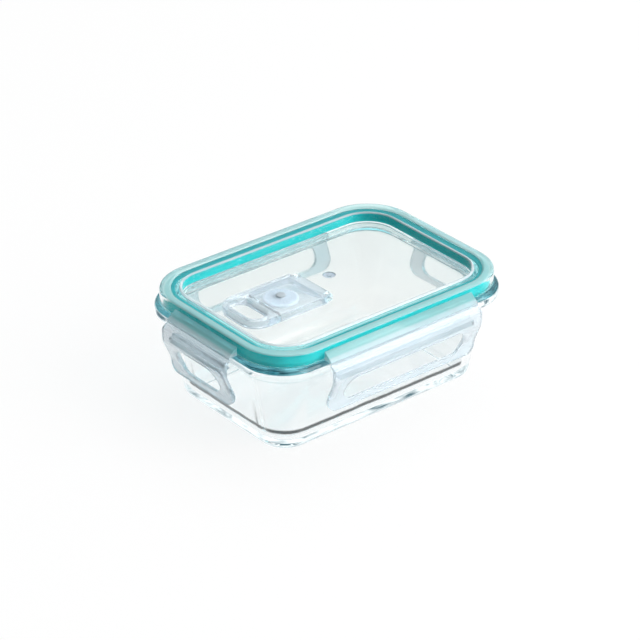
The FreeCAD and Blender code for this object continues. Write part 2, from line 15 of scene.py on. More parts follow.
import bmesh
import bpy
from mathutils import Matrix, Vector

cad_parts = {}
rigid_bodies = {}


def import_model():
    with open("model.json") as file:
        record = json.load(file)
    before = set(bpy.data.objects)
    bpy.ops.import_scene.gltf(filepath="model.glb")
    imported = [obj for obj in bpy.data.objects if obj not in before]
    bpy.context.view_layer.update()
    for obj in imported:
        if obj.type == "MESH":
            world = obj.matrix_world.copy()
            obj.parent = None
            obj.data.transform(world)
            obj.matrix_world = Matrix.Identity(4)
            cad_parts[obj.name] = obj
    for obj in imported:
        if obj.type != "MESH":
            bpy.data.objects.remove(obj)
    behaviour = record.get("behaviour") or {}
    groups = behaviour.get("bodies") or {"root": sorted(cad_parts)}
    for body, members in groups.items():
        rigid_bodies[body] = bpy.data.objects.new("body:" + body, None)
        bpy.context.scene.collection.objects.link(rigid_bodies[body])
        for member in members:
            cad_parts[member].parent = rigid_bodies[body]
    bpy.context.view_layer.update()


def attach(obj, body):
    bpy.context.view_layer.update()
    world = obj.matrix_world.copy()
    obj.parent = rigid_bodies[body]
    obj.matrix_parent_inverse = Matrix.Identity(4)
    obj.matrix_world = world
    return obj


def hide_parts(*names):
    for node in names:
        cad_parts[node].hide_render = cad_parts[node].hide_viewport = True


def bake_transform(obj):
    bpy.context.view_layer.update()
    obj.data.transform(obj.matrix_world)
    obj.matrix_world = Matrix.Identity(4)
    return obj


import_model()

MM = 0.001
LONGER = 20 * MM  # half the length of every loop of the box, less half its width
STOREY = 1 * MM  # height between two loops while a loft is bridged
NEAR = 1e-6  # distance under which two places count as one
CORNER_STEPS = 16
ROUND_STEPS = 5
NOISE_SPAN = (0.3, 0.7)  # where nearly all values of a noise lie
LAST_BOUNCE = 3.5  # glossy depth past which a ray is about to be given up

Colour = tuple[float, float, float]
Point = tuple[float, float]
Place = tuple[float, float, float]
Rows = Sequence[tuple[float, ...]]
Piece = bpy.types.Object
Socket = bpy.types.NodeSocket
EdgeTest = Callable[[Vector, Vector], bool]

WHITE: Colour = (1.0, 1.0, 1.0)
DARK_ROOM: Colour = (0.01, 0.03, 0.035)
log = logging.getLogger("lunch_box")


class Ends(Enum):
    """How the first and the last loop of a loft are closed."""

    CAPPED = "capped"
    JOINED = "joined"


class Join(Enum):
    """What a Boolean does with its second mesh."""

    ADD = "UNION"
    CUT = "DIFFERENCE"
    KEEP_COMMON = "INTERSECT"


class GlassPart(IntEnum):
    """The parts of the glass that have a finish of their own."""

    BODY = 0
    INNER_WALL = 1
    RIM = 2


class LidPart(IntEnum):
    """The parts of the lid that have a finish of their own."""

    BORDER = 0
    PANEL = 1
    OUTER_BEAD = 2
    INNER_BEAD = 3
    LAND = 4
    GATE_MARK = 5
    TROUGH = 6


class Side(Enum):
    """A side of the lid: name, turn from the front, half the lid there, half the latch."""

    FRONT = ("front", 0.0, 50 * MM, 43 * MM)
    RIGHT = ("right", 90.0, 70 * MM, 22.5 * MM)
    BACK = ("back", 180.0, 50 * MM, 43 * MM)
    LEFT = ("left", 270.0, 70 * MM, 22.5 * MM)

    def __init__(self, label: str, degrees: float, edge: float, latch_half: float) -> None:
        """Keep the values of the side under their names."""
        self.label, self.turn = label, math.radians(degrees)
        self.edge, self.latch_half = edge, latch_half

    @property
    def outward(self) -> Vector:
        """Unit vector that points away from the lid on this side."""
        return Vector((math.sin(self.turn), -math.cos(self.turn), 0.0))


@dataclass(frozen=True)
class Corner:
    """One corner of a wall's section, which runs round the box as a rounded rectangle.

    reach is half the length of that loop, and hub the X of the centres of its corner arcs.
    """

    reach: float
    height: float
    hub: float
    rounding: float = 0.0


def deselect() -> None:
    """Leave edit mode and deselect every object."""
    if bpy.context.object and bpy.context.object.mode != "OBJECT":
        bpy.ops.object.mode_set(mode="OBJECT")
    bpy.ops.object.select_all(action="DESELECT")


def activate(piece: Piece) -> None:
    """Select one object alone and make it the active one.

    Args:
        piece: The object.
    """
    deselect()
    piece.select_set(True)
    bpy.context.view_layer.objects.active = piece


def edit(piece: Piece) -> None:
    """Open one object in edit mode with edges as the selection mode.

    Args:
        piece: The object.
    """
    activate(piece)
    bpy.ops.object.mode_set(mode="EDIT")
    bpy.ops.mesh.select_mode(type="EDGE")


def added(name: str, operator: Callable[..., object], **settings: object) -> Piece:
    """Add an object with an operator of Blender and name it.

    Args:
        name: Name of the object.
        operator: The operator.
        **settings: What the operator is given.

    Returns:
        The object, which is the active one.
    """
    deselect()
    operator(**settings)
    piece = bpy.context.object
    piece.name = name
    return piece


def settle(piece: Piece) -> None:
    """Put a piece's place, turn and size into its mesh."""
    activate(piece)
    bpy.ops.object.transform_apply(location=True, rotation=True, scale=True)


def pick_edges(wanted: EdgeTest) -> None:
    """Select the edges of the mesh in edit mode by the places of their two ends.

    Args:
        wanted: Test on the two end points of an edge.
    """
    mesh = bpy.context.object.data
    bpy.ops.mesh.select_all(action="DESELECT")
    for edge in bmesh.from_edit_mesh(mesh).edges:
        edge.select_set(wanted(edge.verts[0].co, edge.verts[1].co))
    bmesh.update_edit_mesh(mesh)


def pick_points(wanted: Callable[[Vector], bool]) -> None:
    """Select the vertices of the mesh in edit mode by their places.

    Args:
        wanted: Test on the place of a vertex.
    """
    mesh = bpy.context.object.data
    bpy.ops.mesh.select_mode(type="VERT")
    bpy.ops.mesh.select_all(action="DESELECT")
    shape = bmesh.from_edit_mesh(mesh)
    for vertex in shape.verts:
        vertex.select_set(wanted(vertex.co))
    shape.select_flush(True)
    bmesh.update_edit_mesh(mesh)


def face_outwards() -> None:
    """Turn the faces of the closed mesh in edit mode outwards."""
    mesh = bpy.context.object.data
    bpy.ops.mesh.select_all(action="SELECT")
    bpy.ops.mesh.normals_make_consistent(inside=False)
    if bmesh.from_edit_mesh(mesh).calc_volume(signed=True) < 0.0:
        bpy.ops.mesh.flip_normals()


def fillet(before: Point, corner: Point, after: Point, radius: float) -> list[Point]:
    """Give the points of the arc that rounds one corner of a section.

    Args:
        before: The corner before it.
        corner: The corner to round.
        after: The corner after it.
        radius: Radius of the arc.

    Returns:
        The points along the arc, or the corner itself where the radius is zero.
    """
    here = Vector(corner)
    back, ahead = (Vector(before) - here).normalized(), (Vector(after) - here).normalized()
    opening = back.angle(ahead)
    if radius <= 0.0 or opening > math.radians(179.0):
        return [corner]
    centre = here + (back + ahead).normalized() * (radius / math.sin(opening / 2))
    start = here + back * (radius / math.tan(opening / 2)) - centre
    sweep = math.pi - opening
    sign = 1.0 if back.cross(ahead) < 0.0 else -1.0
    points = []
    for step in range(ROUND_STEPS + 1):
        angle = sign * sweep * step / ROUND_STEPS
        turned_x = start.x * math.cos(angle) - start.y * math.sin(angle)
        turned_y = start.x * math.sin(angle) + start.y * math.cos(angle)
        points.append((centre.x + turned_x, centre.y + turned_y))
    return points


def round_section(corners: Sequence[Corner], ends: Ends) -> list[Corner]:
    """Round the corners of a section.

    Args:
        corners: The corners in order along the section.
        ends: Whether the section is open, with sharp ends, or runs round to its start.

    Returns:
        The points of the rounded section in the same order.
    """
    rounded = []
    last = len(corners) - 1
    for index, corner in enumerate(corners):
        points = [(corner.reach, corner.height)]
        if ends is Ends.JOINED or index not in (0, last):
            before, after = corners[index - 1], corners[(index + 1) % len(corners)]
            points = fillet((before.reach, before.height), points[0],
                            (after.reach, after.height), corner.rounding)
        rounded += [Corner(reach, height, corner.hub) for reach, height in points]
    return rounded


def storey_of(place: Vector) -> int:
    """Tell which storey of a tower of loops a point is on."""
    return round(place.z / STOREY)


def pick_storeys(*storeys: int) -> None:
    """Select the loops of a tower that are on the given storeys."""
    pick_edges(lambda a, b: storey_of(a) == storey_of(b) and storey_of(a) in storeys)


def loft(name: str, rows: Rows, ends: Ends) -> Piece:
    """Bridge rounded-rectangle loops along a section into one closed piece.

    The loops are bridged as a tower, one above the other, because two loops at one height
    may be bridged the wrong way round, and then let down to their own heights.

    Args:
        name: Name of the piece.
        rows: Reach, height, hub and rounding of each corner of the section, in millimetres.
        ends: Whether the end loops are capped, or bridged to each other.

    Returns:
        The piece, in object mode.
    """
    loops = round_section([Corner(*(value * MM for value in row)) for row in rows], ends)
    last = len(loops) - 1
    deselect()
    for storey, loop in enumerate(loops):
        bpy.ops.mesh.primitive_plane_add(size=2.0, location=(0.0, 0.0, 0.0))
        if storey == 0:
            piece = bpy.context.object
            piece.name = name
            edit(piece)
            bpy.ops.mesh.select_all(action="SELECT")
        bpy.ops.transform.resize(value=(loop.reach, loop.reach - LONGER, 1.0),
                                 center_override=(0.0, 0.0, 0.0))
        bpy.ops.mesh.bevel(offset=loop.reach - loop.hub, segments=CORNER_STEPS,
                           affect="VERTICES", clamp_overlap=False)
        bpy.ops.mesh.select_linked()
        bpy.ops.transform.translate(value=(0.0, 0.0, storey * STOREY))
    bpy.ops.mesh.select_all(action="SELECT")
    bpy.ops.mesh.delete(type="ONLY_FACE")
    for storey in range(last):
        pick_storeys(storey, storey + 1)
        bpy.ops.mesh.bridge_edge_loops()
    if ends is Ends.JOINED:
        pick_storeys(last, 0)
        bpy.ops.mesh.bridge_edge_loops()
    else:
        for storey in (0, last):
            pick_storeys(storey)
            bpy.ops.mesh.edge_face_add()
    for vertex in bmesh.from_edit_mesh(piece.data).verts:
        vertex.co.z = loops[storey_of(vertex.co)].height
    bmesh.update_edit_mesh(piece.data)
    face_outwards()
    deselect()
    return piece


def block(name: str, low: Sequence[float], high: Sequence[float]) -> Piece:
    """Add a box between two corners, as a start for a piece or a cutter.

    Args:
        name: Name of the object.
        low: Its lowest corner.
        high: Its highest corner.

    Returns:
        The box, with its place in its mesh.
    """
    middle = [(a + b) / 2 for a, b in zip(low, high)]
    size = [b - a for a, b in zip(low, high)]
    piece = added(name, bpy.ops.mesh.primitive_cube_add, size=1.0, location=middle, scale=size)
    settle(piece)
    return piece


def rod(radius: float, length: float, place: Place, sides: int) -> Piece:
    """Add a cylinder that lies along Y, as a tool for a Boolean.

    Args:
        radius: Its radius.
        length: Its length.
        place: Its middle.
        sides: Number of its sides.

    Returns:
        The cylinder, with its place in its mesh.
    """
    piece = added("rod", bpy.ops.mesh.primitive_cylinder_add, vertices=sides, radius=radius,
                  depth=length, location=place, rotation=(math.pi / 2, 0.0, 0.0))
    settle(piece)
    return piece


def round_edges(piece: Piece, wanted: EdgeTest, radius: float, steps: int = 6) -> None:
    """Bevel the edges of a piece that pass a test.

    Args:
        piece: The piece to round.
        wanted: Test on the two end points of an edge.
        radius: Offset of the bevel.
        steps: Segments of the bevel.
    """
    edit(piece)
    pick_edges(wanted)
    bpy.ops.mesh.bevel(offset=radius, segments=steps, affect="EDGES", clamp_overlap=True)
    deselect()


def along(axis: int, **limits: float) -> EdgeTest:
    """Make a test for edges that run along one axis.

    Args:
        axis: Number of the axis that the edge runs along.
        **limits: Least or most of a coordinate of both ends, as low_x or high_z.

    Returns:
        The test for pick_edges and round_edges.
    """
    def wanted(first: Vector, second: Vector) -> bool:
        """Tell whether an edge runs along the axis and lies within the limits.

        Args:
            first: One end of the edge.
            second: Its other end.

        Returns:
            Whether it does.
        """
        across = [k for k in range(3) if k != axis]
        if any(abs(first[k] - second[k]) > NEAR for k in across):
            return False
        for name, value in limits.items():
            place = "xyz".index(name[-1])
            for end in (first, second):
                if (end[place] < value) if name.startswith("low") else (end[place] > value):
                    return False
        return True
    return wanted


def apply_modifier(piece: Piece, kind: str, **settings: object) -> None:
    """Add a modifier to a piece, set it and apply it.

    Args:
        piece: The piece.
        kind: Type name of the modifier.
        **settings: Properties of the modifier by name.
    """
    activate(piece)
    modifier = piece.modifiers.new(kind, kind)
    for name, value in settings.items():
        setattr(modifier, name, value)
    bpy.ops.object.modifier_apply(modifier=modifier.name)


def combine(piece: Piece, tool: Piece, join: Join) -> None:
    """Apply a Boolean to a piece and remove the second mesh.

    Args:
        piece: The piece that stays.
        tool: The mesh that is added, cut away or kept in common.
        join: What the Boolean does.
    """
    apply_modifier(piece, "BOOLEAN", operation=join.value, solver="MANIFOLD", object=tool)
    bpy.data.objects.remove(tool, do_unlink=True)


def joined(*pieces: Piece) -> Piece:
    """Join meshes that don't touch, as one tool of a Boolean.

    Args:
        *pieces: The meshes.

    Returns:
        The first of them, which now holds them all.
    """
    activate(pieces[0])
    for piece in pieces[1:]:
        piece.select_set(True)
    bpy.ops.object.join()
    return pieces[0]


def soften(piece: Piece, width: float, limit: float) -> None:
    """Round every sharp edge of a piece with an applied Bevel modifier.

    Args:
        piece: The piece to round.
        width: Width of the bevel.
        limit: Least angle of an edge that is rounded, in degrees.
    """
    apply_modifier(piece, "BEVEL", width=width, segments=3, limit_method="ANGLE",
                   angle_limit=math.radians(limit), use_clamp_overlap=True)


def smooth(piece: Piece, limit: float) -> None:
    """Merge doubles, turn the faces outwards and shade a piece smooth below an angle.

    Args:
        piece: The piece to finish.
        limit: Greatest angle that is shaded smooth, in degrees.
    """
    edit(piece)
    bpy.ops.mesh.select_all(action="SELECT")
    bpy.ops.mesh.remove_doubles(threshold=NEAR)
    face_outwards()
    bpy.ops.object.mode_set(mode="OBJECT")
    bpy.ops.object.shade_smooth_by_angle(angle=math.radians(limit))


def turned(name: str, rows: Rows, centre: Point) -> Piece:
    """Make a round piece about a vertical axis from a circle, extruded ring by ring.

    Args:
        name: Name of the piece.
        rows: Radius and height of each ring in millimetres, from one end to the other.
        centre: X and Y of the axis.

    Returns:
        The piece, with its place in its mesh.
    """
    (radius, height), *rings = [(wide * MM, high * MM) for wide, high in rows]
    piece = added(name, bpy.ops.mesh.primitive_circle_add, vertices=64, radius=radius,
                  fill_type="NGON", location=(*centre, height))
    bpy.ops.object.mode_set(mode="EDIT")
    bpy.ops.mesh.select_mode(type="FACE")
    bpy.ops.mesh.select_all(action="SELECT")
    for wide, high in rings:
        bpy.ops.mesh.extrude_region_move(
            TRANSFORM_OT_translate={"value": (0.0, 0.0, high - height)})
        bpy.ops.transform.resize(value=(wide / radius, wide / radius, 1.0),
                                 center_override=(*centre, high))
        radius, height = wide, high
    face_outwards()
    settle(piece)
    return piece


def prism(name: str, section: Sequence[Place], half_width: float) -> Piece:
    """Extrude a section that stands across X, with its corners rounded.

    Args:
        name: Name of the piece.
        section: Y, Z and tangent length of the rounding of each corner, in order.
        half_width: Half the extrusion, to each side of the middle.

    Returns:
        The piece, with its place in its mesh.
    """
    piece = added(name, bpy.ops.mesh.primitive_circle_add, vertices=len(section), radius=1.0,
                  fill_type="NGON", location=(0.0, 0.0, 0.0))
    for vertex, (y, z, _) in zip(piece.data.vertices, section):
        vertex.co = (-half_width, y, z)
    bpy.ops.object.mode_set(mode="EDIT")
    for rounding in sorted({row[2] for row in section if row[2] > 0.0}):
        spots = [Vector((-half_width, y, z)) for y, z, size in section if size == rounding]
        pick_points(lambda place: any((place - spot).length < NEAR for spot in spots))
        bpy.ops.mesh.bevel(offset=rounding, segments=ROUND_STEPS, affect="VERTICES",
                           clamp_overlap=False)
    bpy.ops.mesh.select_mode(type="FACE")
    bpy.ops.mesh.select_all(action="SELECT")
    bpy.ops.mesh.extrude_region_move(
        TRANSFORM_OT_translate={"value": (2 * half_width, 0.0, 0.0)})
    face_outwards()
    deselect()
    return piece


def turn_to(piece: Piece, side: Side) -> None:
    """Turn a piece made at the front to another side of the lid."""
    piece.rotation_euler = (0.0, 0.0, side.turn)
    settle(piece)


def copy_of(piece: Piece, name: str) -> Piece:
    """Copy a piece with a mesh of its own.

    Args:
        piece: The piece to copy.
        name: Name of the copy.

    Returns:
        The copy.
    """
    activate(piece)
    bpy.ops.object.duplicate(linked=False)
    twin = bpy.context.object
    twin.name = name
    return twin


class NodeBoard:
    """The node tree of a material or of the world, with short calls to lay nodes."""

    def __init__(self, owner: bpy.types.Material | bpy.types.World) -> None:
        """Empty the owner's tree and start it with the coordinates of the piece.

        Args:
            owner: The material or world.
        """
        owner.use_nodes = True
        self.owner = owner
        self.tree = owner.node_tree
        self.tree.nodes.clear()
        self.coordinates = self.add("TexCoord").outputs
        self.place = self.coordinates["Object"]

    def add(self, kind: str, inputs: dict[str | int, object] | None = None,
            **settings: object) -> bpy.types.Node:
        """Add a node, set its properties and fill its inputs.

        Args:
            kind: Type name of the node, after ShaderNode.
            inputs: A value, or a socket to link, for each input by name or number.
            **settings: Properties of the node by name.

        Returns:
            The node.
        """
        node = self.tree.nodes.new(f"ShaderNode{kind}")
        for name, value in settings.items():
            setattr(node, name, value)
        for name, value in (inputs or {}).items():
            socket = node.inputs[name]
            if isinstance(value, Socket):
                self.tree.links.new(value, socket)
            else:
                socket.default_value = (*value, 1.0) if socket.type == "RGBA" else value
        return node

    def math(self, operation: str, *values: Socket | float) -> Socket:
        """Lay a Math node over one or two values."""
        return self.add("Math", dict(enumerate(values)), operation=operation).outputs["Value"]

    def product(self, first: Socket, second: Socket) -> Socket:
        """Multiply two values."""
        return self.math("MULTIPLY", first, second)

    def split(self) -> bpy.types.NodeOutputs:
        """Give X, Y and Z of the place on the piece."""
        return self.add("SeparateXYZ", {"Vector": self.place}).outputs

    def noise(self, size: float, detail: float = 3.0, stretch: Place = (1.0, 1.0, 1.0)) -> Socket:
        """Add a noise pattern of a real size.

        Args:
            size: Length of its features.
            detail: Number of finer layers.
            stretch: Scale of the pattern along each axis.

        Returns:
            The socket of its value.
        """
        mapping = self.add("Mapping", {"Vector": self.place, "Scale": stretch})
        return self.add("TexNoise", {"Vector": mapping.outputs["Vector"], "Scale": 1.0 / size,
                                     "Detail": detail}).outputs["Fac"]

    def span(self, value: Socket, start: float, end: float, least: float = 0.0,
             most: float = 1.0) -> Socket:
        """Run from one result to another as a value goes from one limit to the other.

        Args:
            value: The value.
            start: Its first limit.
            end: Its second limit.
            least: Result at the first limit and before it.
            most: Result at the second limit and past it.

        Returns:
            The socket of the result.
        """
        return self.add("MapRange", {"Value": value, "From Min": start, "From Max": end,
                                     "To Min": least, "To Max": most}).outputs["Result"]

    def shades(self, value: Socket, low: Colour, high: Colour, start: float = NOISE_SPAN[0],
               end: float = NOISE_SPAN[1]) -> Socket:
        """Run a value between two colours.

        Args:
            value: The value.
            low: Colour where it is low.
            high: Colour where it is high.
            start: Where the low colour ends.
            end: Where the high colour begins.

        Returns:
            The socket of the colour.
        """
        ramp = self.add("ValToRGB", {"Fac": value})
        for stop, position, colour in zip(ramp.color_ramp.elements, (start, end), (low, high)):
            stop.position = position
            stop.color = (*colour, 1.0)
        return ramp.outputs["Color"]

    def mixed(self, share: Socket | float, first: Socket | Colour, second: Socket | Colour,
              **settings: object) -> Socket:
        """Mix two colours by a share of the second."""
        return self.add("Mix", {"Factor": share, "A": first, "B": second}, data_type="RGBA",
                        **settings).outputs["Result"]

    def either(self, share: Socket | float, first: Socket, second: Socket) -> Socket:
        """Mix two shaders by a share of the second."""
        return self.add("MixShader", {"Fac": share, 1: first, 2: second}).outputs["Shader"]

    def relief(self, value: Socket, depth: float, strength: float, **under: Socket) -> Socket:
        """Turn a value into a bump.

        Args:
            value: Height pattern.
            depth: Depth of the pattern.
            strength: Share of it that shows.
            **under: A bump that this one lies on, as Normal.

        Returns:
            The socket of the bumped normal.
        """
        return self.add("Bump", {"Height": value, "Distance": depth, "Strength": strength,
                                 **under}).outputs["Normal"]


@dataclass(frozen=True)
class ClearFinish:
    """Something that is seen through: a clear moulding, or pressed glass.

    It has two shades, a least and a greatest roughness, slow waves and a tint that grows with
    depth. The dim and the mean streak colour are painted light: streaks that glow on its edges in
    place of the room's light.
    """

    name: str
    low: Colour
    high: Colour
    clearness: float
    smoothest: float
    roughest: float
    gloss: float = 0.3
    ior: float = 1.22
    wave: float = 18 * MM
    wave_depth: float = 0.02 * MM
    depth_colour: Colour = (0.70, 0.88, 0.90)
    depth_density: float = 4.0
    painted_dim_light: Colour = (0.30, 0.40, 0.42)
    painted_mean_light: Colour = (0.30, 0.40, 0.42)
    cloud: float = 14 * MM
    polish: float = 3 * MM
    grain: float = 0.5 * MM
    grain_depth: float = 0.01 * MM
    streak: float = 11 * MM
    streak_span: Point = (0.41, 0.51)

    def colour(self, board: NodeBoard) -> Socket:
        """Lay the colour of the body, which clouds slowly between its two shades."""
        return board.shades(board.noise(self.cloud), self.low, self.high)

    def painted_last_light(self, board: NodeBoard) -> Socket:
        """Lay painted streaks of light, which glow for a ray that is mirrored inside until it is
        given up.
        """
        streaks = board.noise(self.streak, 2.0, (0.7, 0.7, 2.0))
        return board.shades(streaks, self.painted_dim_light, self.painted_mean_light, *self.streak_span)

    def make(self) -> bpy.types.Material:
        """Build the material, which lets the light of the lamps through.

        A ray that is mirrored inside too often gets painted light, streaks that glow in place of
        the room's light, because it would leave a black spot.

        Returns:
            The material.
        """
        board = NodeBoard(bpy.data.materials.new(self.name))
        path = board.add("LightPath").outputs
        waves = board.relief(board.noise(self.wave, 1.0), self.wave_depth, 0.6)
        fine = board.relief(board.noise(self.grain, 2.0), self.grain_depth, 0.15, Normal=waves)
        shader = board.add("BsdfPrincipled", {
            "Base Color": self.colour(board),
            "Transmission Weight": self.clearness,
            "IOR": self.ior,
            "Coat Weight": self.gloss,
            "Coat Roughness": 0.04,
            "Roughness": board.span(board.noise(self.polish, 4.0), *NOISE_SPAN, self.smoothest,
                                    self.roughest),
            "Normal": fine,
            # Painted light: streaks of emission for rays mirrored inside past the last bounce.
            "Emission Color": self.painted_last_light(board),
            "Emission Strength": board.math("GREATER_THAN", path["Glossy Depth"], LAST_BOUNCE)})
        passing = board.add("BsdfTransparent", {
            "Color": tuple(math.sqrt(self.clearness * part) for part in self.high)})
        surface = board.either(path["Is Shadow Ray"], shader.outputs["BSDF"],
                               passing.outputs["BSDF"])
        body = board.add("VolumeAbsorption", {"Color": self.depth_colour,
                                              "Density": self.depth_density})
        board.add("OutputMaterial", {"Surface": surface, "Volume": body.outputs["Volume"]})
        return board.owner


@dataclass(frozen=True)
class InnerGlassFinish(ClearFinish):
    """The inner wall of the glass, with a painted dark reflection on its bends, seen from within.

    bend holds the heights where the painted dark line above the floor starts, is full, thins and
    ends.
    """

    # Colour of the painted dark reflection.
    dark: Colour = (0.003, 0.005, 0.0055)
    bend: tuple[float, float, float, float] = (7.7 * MM, 8.5 * MM, 9.9 * MM, 10.7 * MM)
    sway: float = 0.4 * MM
    sway_size: float = 16 * MM
    corner_y: float = 22.8 * MM
    corner_near: float = 0.3 * MM
    corner_far: float = 1.4 * MM
    corner_low: float = 10 * MM
    corner_high: float = 24 * MM
    end_wall: Point = (50 * MM, 52 * MM)

    def colour(self, board: NodeBoard) -> Socket:
        """Paint a dark reflection on the bend above the floor and the start of each corner, seen
        from inside.

        Args:
            board: The node tree.

        Returns:
            The socket of the colour.
        """
        place = board.split()
        start, full, thin, end = self.bend
        sway = board.span(board.noise(self.sway_size), *NOISE_SPAN, -self.sway, self.sway)
        height = board.math("ADD", place["Z"], sway)
        line = board.product(board.span(height, start, full), board.span(height, end, thin))
        aside = board.math("SUBTRACT", board.math("ABSOLUTE", place["Y"]), self.corner_y)
        streak = board.product(
            board.span(board.math("ABSOLUTE", aside), self.corner_far, self.corner_near),
            board.span(place["Z"], self.corner_high, self.corner_low))
        out = board.span(board.math("ABSOLUTE", place["X"]), *self.end_wall)
        both = board.math("MAXIMUM", line, board.product(streak, out))
        # The painted dark reflection shows only where the wall is seen from within the glass.
        within = board.add("NewGeometry").outputs["Backfacing"]
        return board.mixed(board.product(both, within), super().colour(board), self.dark)


@dataclass(frozen=True)
class LandFinish(ClearFinish):
    """The plastic of the hinge lands, which the seal tints in their upper half."""

    lip: Colour = (0.88, 0.93, 0.97)
    lip_height: float = 49.8 * MM
    tint_height: float = 50.5 * MM

    def colour(self, board: NodeBoard) -> Socket:
        """Run from the pale lip up to the tinted half."""
        share = board.span(board.split()["Z"], self.lip_height, self.tint_height)
        return board.mixed(share, self.lip, super().colour(board))


@dataclass(frozen=True)
class SiliconeFinish:
    """Soft silicone: coloured through, matt, with a fine grain.

    Its emission is a painted glow that stands in for the light that the clear pieces around it
    lead in.
    """

    name: str
    deep: Colour
    light: Colour
    glow: float
    clearness: float
    painted_fill_glow: float
    cloud: float = 9 * MM
    polish: float = 1.2 * MM
    smoothest: float = 0.32
    roughest: float = 0.5
    grain: float = 0.35 * MM
    grain_depth: float = 0.02 * MM

    def make(self) -> bpy.types.Material:
        """Build the material: two shades, scattered light and a matt fine grain.

        Returns:
            The material.
        """
        board = NodeBoard(bpy.data.materials.new(self.name))
        shader = board.add("BsdfPrincipled", {
            "Base Color": board.shades(board.noise(self.cloud), self.deep, self.light),
            "Subsurface Weight": self.glow,
            "Subsurface Radius": (0.6, 1.0, 1.0),
            "Subsurface Scale": 4 * MM,
            "Transmission Weight": self.clearness,
            # Painted glow: emission in place of the light led in by the clear pieces.
            "Emission Color": self.light,
            "Emission Strength": self.painted_fill_glow,
            "IOR": 1.41,
            "Specular IOR Level": 0.15,
            "Roughness": board.span(board.noise(self.polish, 5.0), *NOISE_SPAN, self.smoothest,
                                    self.roughest),
            "Normal": board.relief(board.noise(self.grain), self.grain_depth, 0.35)})
        board.add("OutputMaterial", {"Surface": shader.outputs["BSDF"]})
        return board.owner


GLASS = ClearFinish("pressed_glass", (0.985, 0.995, 1.0), (0.995, 1.0, 1.0), 1.0, 0.0, 0.012,
                    gloss=0.0, ior=1.45, wave=22 * MM, wave_depth=0.10 * MM,
                    depth_colour=(0.70, 0.90, 0.92), depth_density=3.0,
                    painted_dim_light=(0.0, 0.05, 0.07), painted_mean_light=(0.60, 0.63, 0.64))
INNER_GLASS = InnerGlassFinish(**(vars(GLASS) | {"name": "inner_glass"}))
# Rim faces are painted dark teal: painted shade under the seal and dark reflections along the rim.
PAINTED_DARK_RIM_GLASS = replace(GLASS, name="painted_dark_rim_glass", low=(0.0, 0.03, 0.05), high=(0.03, 0.24, 0.30))
BORDER_PLASTIC = ClearFinish("lid_border_plastic", (0.95, 0.99, 0.99), (0.97, 1.0, 1.0), 0.99,
                             0.03, 0.07, gloss=0.0)
OUTER_BEAD_PLASTIC = ClearFinish("lid_outer_bead_plastic", (0.58, 0.90, 0.89),
                                 (0.68, 0.94, 0.93), 0.58, 0.08, 0.14)
INNER_BEAD_PLASTIC = ClearFinish("lid_inner_bead_plastic", (0.84, 0.89, 0.93),
                                 (0.89, 0.93, 0.96), 0.6, 0.08, 0.14)
LAND_PLASTIC = LandFinish("lid_land_plastic", (0.46, 0.84, 0.83), (0.54, 0.88, 0.87), 0.6,
                          0.06, 0.1)
TROUGH_PLASTIC = ClearFinish("lid_trough_plastic", (0.22, 0.84, 0.85), (0.32, 0.90, 0.91), 0.95,
                             0.05, 0.1, gloss=0.0)
PANEL_PLASTIC = ClearFinish("lid_panel_plastic", (0.965, 0.965, 0.95), (0.985, 0.985, 0.965),
                            0.96, 0.05, 0.1, wave=24 * MM)
LATCH_PLASTIC = ClearFinish("latch_plastic", (0.82, 0.89, 0.935), (0.87, 0.92, 0.955), 0.74,
                            0.06, 0.12, gloss=0.4, ior=1.28, wave=16 * MM, wave_depth=0.04 * MM,
                            depth_colour=(0.62, 0.74, 0.84), depth_density=6.0)
FLAP_PLASTIC = ClearFinish("flap_plastic", (0.71, 0.78, 0.83), (0.78, 0.84, 0.88), 0.85,
                           0.04, 0.1, gloss=0.4, ior=1.3, wave=12 * MM, wave_depth=0.03 * MM,
                           depth_colour=(0.60, 0.70, 0.82), depth_density=14.0)
# The last value of the seal and the plug is a painted glow.
SEAL_SILICONE = SiliconeFinish("seal_silicone", (0.0, 0.40, 0.41), (0.0, 0.47, 0.48),
                               0.9, 0.0, 0.24)
PLUG_SILICONE = SiliconeFinish("plug_silicone", (0.80, 0.86, 0.90), (0.84, 0.89, 0.93),
                               0.2, 0.1, 0.14)
# The button is a darker copy of the plug silicone: painted shade on the part that the lamps light
# directly.
PAINTED_SHADE_BUTTON_SILICONE = SiliconeFinish("painted_shade_button_silicone", (0.44, 0.50, 0.54), (0.48, 0.54, 0.58),
                                 0.2, 0.1, 0.0)


@dataclass(frozen=True)
class Lamp:
    """A square soft lamp: its place, the length of its side, its watts and its colour."""

    name: str
    place: Place
    size: float
    energy: float
    colour: Colour


